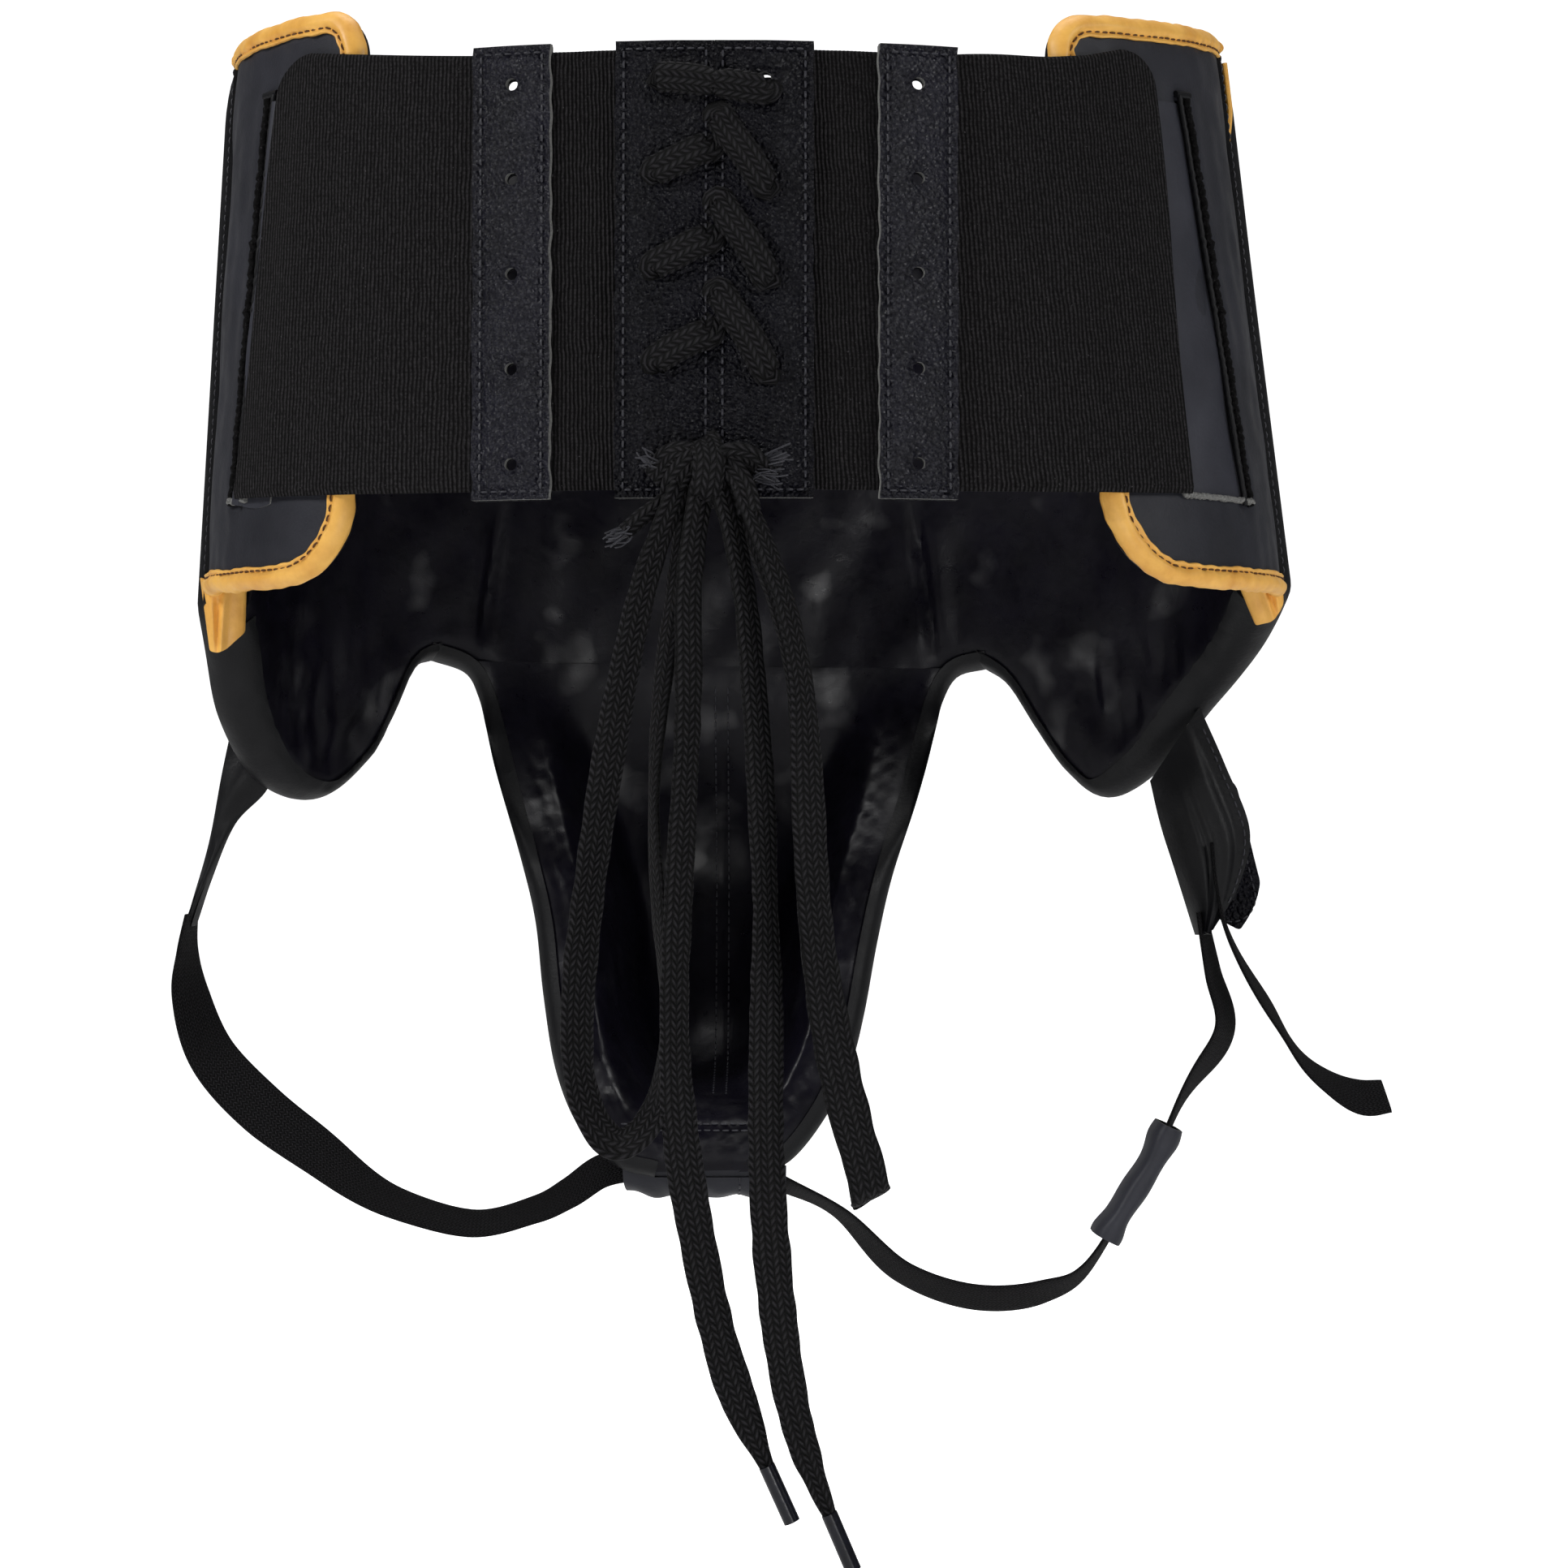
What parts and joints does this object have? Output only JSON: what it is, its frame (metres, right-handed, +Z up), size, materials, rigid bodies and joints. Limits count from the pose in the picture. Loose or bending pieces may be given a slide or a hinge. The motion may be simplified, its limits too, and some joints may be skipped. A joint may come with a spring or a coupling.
{
  "type": "groin protector",
  "caption": "Padded lace-up groin protector: curved front belt with hip lobes and hard cup, bound side wings, laced elastic back and two leg straps.",
  "frame": {"origin": "centre of the waist ring, level with the middle of the elastic back: the wearer's waist", "axes": "+Z up, +Y towards the wearer's front, +X to the right as seen from behind"},
  "size_m": [0.3783, 0.2615, 0.4446],
  "materials": {
    "smooth_leather": "smooth matte charcoal leather",
    "pebbled_leather": "black pebbled leather",
    "binding_leather": "yellow-tan leather tape",
    "satin_lining": "black satin",
    "foam": "closed-cell padding foam, hidden",
    "hard_plastic": "moulded shell, hidden",
    "knit_elastic": "black ribbed knit elastic",
    "lace_braid": "flat black braid",
    "webbing": "black woven webbing",
    "aglet_plastic": "black heat-shrunk tip"
  },
  "bodies": {
    "root": {"front_cover": "smooth_leather", "cup_cover": "smooth_leather", "left_wing_cover": "smooth_leather", "right_wing_cover": "smooth_leather", "left_tongue": "smooth_leather", "right_tongue": "smooth_leather", "crotch_anchor": "smooth_leather", "front_lining": "satin_lining", "cup_lining": "satin_lining", "left_wing_lining": "satin_lining", "right_wing_lining": "satin_lining", "cup_rim_pad": "satin_lining", "front_foam": "foam", "cup_foam": "foam", "left_wing_foam": "foam", "right_wing_foam": "foam", "cup_hard_shell": "hard_plastic", "front_binding": "binding_leather", "left_wing_binding": "binding_leather", "right_wing_binding": "binding_leather", "lace_knot": "lace_braid", "left_lace_loop": "lace_braid", "right_lace_loop": "lace_braid", "left_lace_end": "lace_braid", "right_lace_end": "lace_braid", "left_aglet": "aglet_plastic", "right_aglet": "aglet_plastic", "left_leg_strap": "webbing", "right_leg_strap": "webbing", "right_strap_sleeve": "smooth_leather"},
    "left_back": {"left_elastic_panel": "knit_elastic", "left_elastic_gusset": "knit_elastic", "left_eyelet_strip": "pebbled_leather", "left_eyelet_backing": "pebbled_leather", "left_lacing_strip": "pebbled_leather", "left_lacing_backing": "pebbled_leather", "left_lacing": "lace_braid"},
    "left_tab": {"left_leg_tab": "smooth_leather"},
    "right_back": {"right_elastic_panel": "knit_elastic", "right_elastic_gusset": "knit_elastic", "right_eyelet_strip": "pebbled_leather", "right_eyelet_backing": "pebbled_leather", "right_lacing_strip": "pebbled_leather", "right_lacing_backing": "pebbled_leather", "right_lacing": "lace_braid"},
    "right_tab": {"right_leg_tab": "smooth_leather", "right_rounded_tongue": "smooth_leather"},
    "strap_tail": {"right_strap_tail": "webbing"}
  },
  "joints": [
    {"name": "left_lacing_slack", "type": "slide", "parent": "root", "child": "left_back", "axis": [-0.9877, 0.1564, 0], "range_m": [0, 0.02], "deforming": ["left_elastic_panel"]},
    {"name": "right_lacing_slack", "type": "slide", "parent": "root", "child": "right_back", "axis": [0.9877, 0.1564, 0], "range_m": [0, 0.02], "deforming": ["right_elastic_panel"]},
    {"name": "left_tab_swing", "type": "hinge", "parent": "root", "child": "left_tab", "pos_m": [-0.148, 0.048, -0.128], "axis": [0.4699, 0, -0.8827], "range_deg": [-25, 20], "deforming": ["left_leg_strap"]},
    {"name": "right_tab_swing", "type": "hinge", "parent": "root", "child": "right_tab", "pos_m": [0.148, 0.048, -0.128], "axis": [0.4699, 0, 0.8827], "range_deg": [-25, 20], "deforming": ["right_leg_strap"]},
    {"name": "strap_tail_pull", "type": "slide", "parent": "right_tab", "child": "strap_tail", "axis": [0.1856, 0, -0.9826], "range_m": [-0.005, 0.025]}
  ],
  "couplings": [
    {"joint": "right_lacing_slack", "follows": "left_lacing_slack", "ratio": 1}
  ]
}
